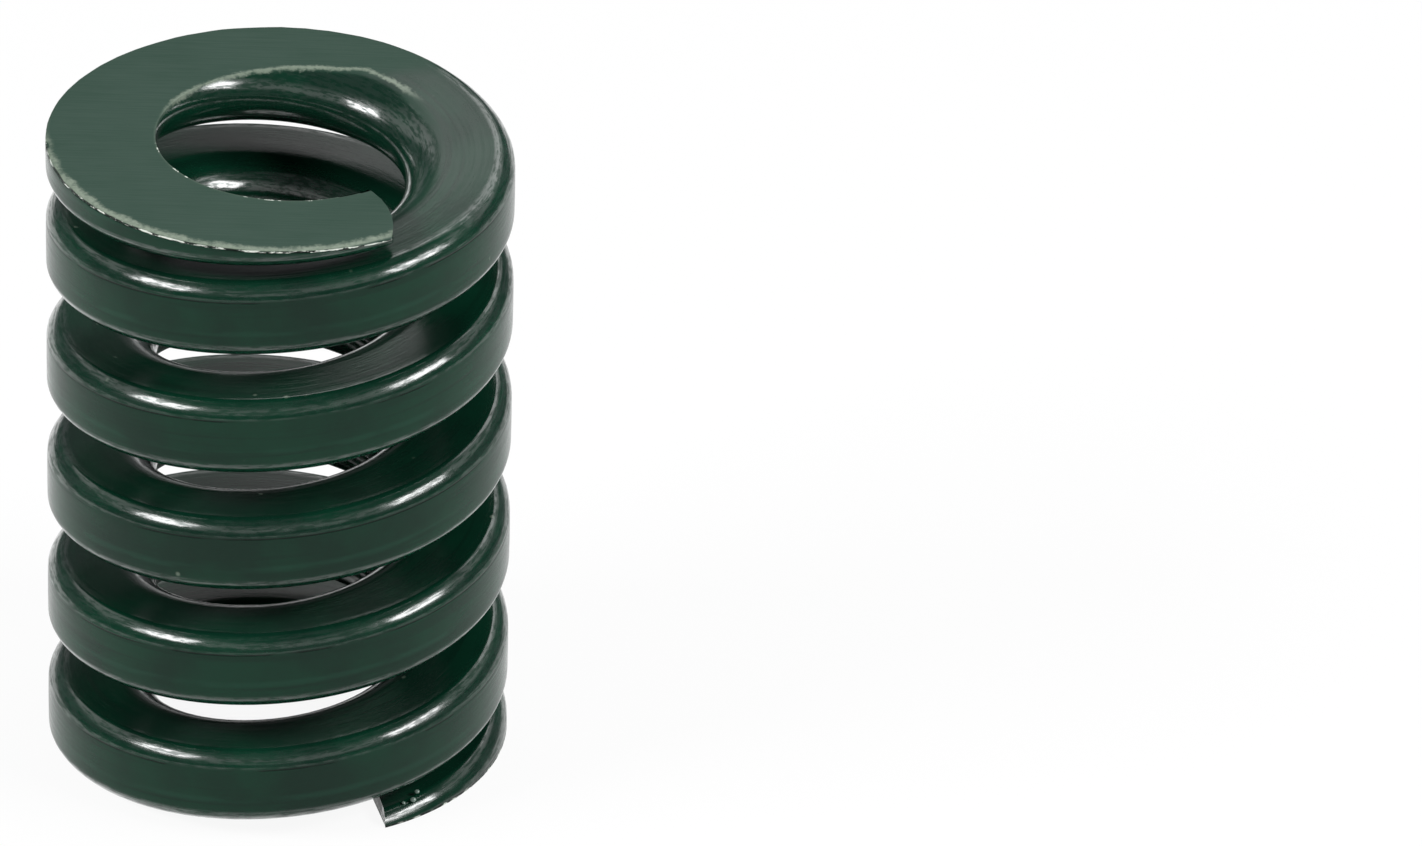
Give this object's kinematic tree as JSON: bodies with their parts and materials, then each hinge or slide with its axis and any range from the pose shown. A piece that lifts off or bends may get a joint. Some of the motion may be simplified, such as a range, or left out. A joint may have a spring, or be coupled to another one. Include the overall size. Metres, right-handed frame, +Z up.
{
  "type": "die spring",
  "caption": "Heavy-load compression spring of keystone wire with closed, ground ends, for press tools and moulds.",
  "frame": {"origin": "centre of the bottom seat, on the coil's axis", "axes": "+Z up along the coil's axis to the top seat; both tips lie near -56 degrees, measured from +X towards +Y"},
  "size_m": [0.0344, 0.0344, 0.05],
  "materials": {
    "enamel": "gloss dark green enamel"
  },
  "bodies": {
    "root": {"die_spring": "enamel"}
  },
  "joints": []
}
